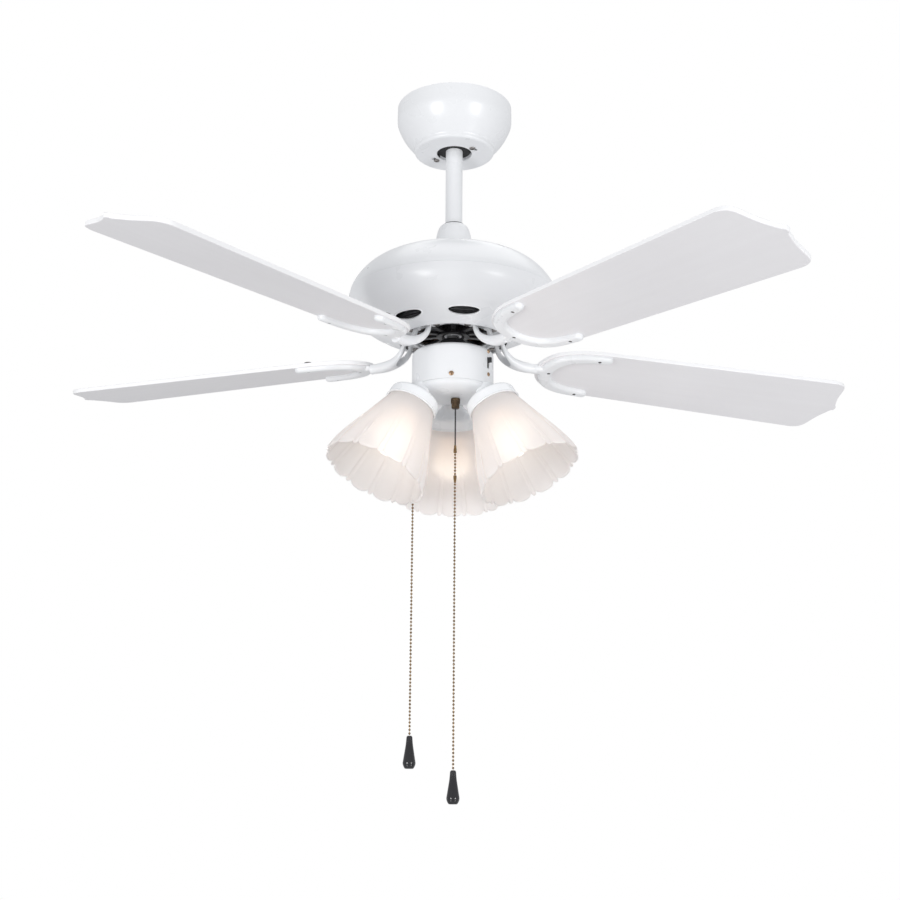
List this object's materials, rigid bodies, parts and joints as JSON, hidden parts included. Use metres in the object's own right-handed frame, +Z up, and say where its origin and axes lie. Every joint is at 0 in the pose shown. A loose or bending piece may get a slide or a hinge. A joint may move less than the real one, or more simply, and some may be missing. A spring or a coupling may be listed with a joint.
{
  "type": "ceiling fan with light",
  "caption": "White ceiling fan on a short downrod with pitched ogee-tipped blades, a three-arm light kit of fluted bell shades, and two bead pull chains.",
  "frame": {"origin": "centre of the ceiling bracket's top face, in the ceiling plane, on the fan's axis", "axes": "+Z up out of the ceiling face, along the downrod axis; the fan hangs towards -Z; the front housing screw and the two front shades face -Y, one blade and one shade point along +Y"},
  "size_m": [1.0085, 0.9853, 0.8616],
  "materials": {
    "white_enamel": "gloss white enamel",
    "white_blade": "white laminate over board",
    "zinc_steel": "zinc plated",
    "black_rubber": "matt black",
    "black_plastic": "moulded black",
    "gloss_black": "gloss black",
    "black_paint": "satin black",
    "bright_aluminium": "turned",
    "lamination_steel": "varnished laminations",
    "copper_wire": "enamelled copper",
    "brass_screw": "brass plated",
    "antique_brass": "antique brass",
    "frosted_glass": "frosted, fluted",
    "lamp_glass": "opal bulb, lit"
  },
  "bodies": {
    "ceiling_mount": {"mounting_bracket": "zinc_steel", "canopy": "white_enamel", "canopy_screws": "zinc_steel"},
    "hanging_fan": {"hanger_ball": "black_rubber", "ball_pin": "zinc_steel", "downrod": "white_enamel", "motor_coupling": "zinc_steel", "clevis_pin": "zinc_steel", "coupling_cover": "white_enamel", "coupling_cover_screw": "brass_screw", "housing_top": "white_enamel", "housing_bottom": "white_enamel", "motor_shaft": "zinc_steel", "stator_core": "lamination_steel", "stator_windings": "copper_wire", "bearing_inner_races": "zinc_steel", "switch_mount_plate": "black_paint", "shaft_nut": "zinc_steel", "switch_housing": "white_enamel", "switch_housing_screws": "brass_screw", "reverse_switch_body": "black_plastic", "reverse_switch_screws": "brass_screw", "capacitor": "black_plastic", "fan_pull_switch": "black_plastic", "fan_chain_bushing": "black_plastic", "light_fitter": "white_enamel", "light_pull_switch": "black_plastic", "light_chain_nut": "antique_brass", "lamp_sockets": "zinc_steel", "shade_ring_nuts": "zinc_steel", "bulbs": "lamp_glass", "shade_holder_1": "white_enamel", "shade_holder_2": "white_enamel", "shade_holder_3": "white_enamel", "shade_1": "frosted_glass", "shade_2": "frosted_glass", "shade_3": "frosted_glass"},
    "rotor": {"rotor_ring": "bright_aluminium", "rotor_bottom_cover": "black_paint", "rotor_top_cover": "black_paint", "bearing_outer_races": "zinc_steel", "bearing_balls": "zinc_steel", "blade_screws": "zinc_steel", "iron_screws": "brass_screw", "blade_1": "white_blade", "blade_2": "white_blade", "blade_3": "white_blade", "blade_4": "white_blade", "blade_5": "white_blade", "blade_iron_1": "white_enamel", "blade_iron_2": "white_enamel", "blade_iron_3": "white_enamel", "blade_iron_4": "white_enamel", "blade_iron_5": "white_enamel"},
    "direction_knob": {"reverse_switch_knob": "black_plastic"},
    "fan_pull": {"fan_pull_chain": "antique_brass", "fan_pull_fob": "gloss_black"},
    "light_pull": {"light_pull_chain": "antique_brass", "light_chain_connectors": "antique_brass", "light_pull_fob": "gloss_black"}
  },
  "joints": [
    {"name": "ball_swing", "type": "hinge", "parent": "ceiling_mount", "child": "hanging_fan", "pos_m": [0, 0, -0.042], "axis": [1, 0, 0], "range_deg": [-15, 15]},
    {"name": "rotor_spin", "type": "hinge", "parent": "hanging_fan", "child": "rotor", "pos_m": [0, 0, -0.331], "axis": [0, 0, 1], "continuous": true},
    {"name": "reverse_switch", "type": "slide", "parent": "hanging_fan", "child": "direction_knob", "axis": [0, 0, 1], "range_m": [-0.0064, 0]},
    {"name": "fan_pull", "type": "slide", "parent": "hanging_fan", "child": "fan_pull", "axis": [0, 0, -1], "range_m": [0, 0.009], "stiffness_N_per_m": 400, "springref_m": -0.004},
    {"name": "light_pull", "type": "slide", "parent": "hanging_fan", "child": "light_pull", "axis": [0, 0, -1], "range_m": [0, 0.009], "stiffness_N_per_m": 400, "springref_m": -0.004}
  ]
}
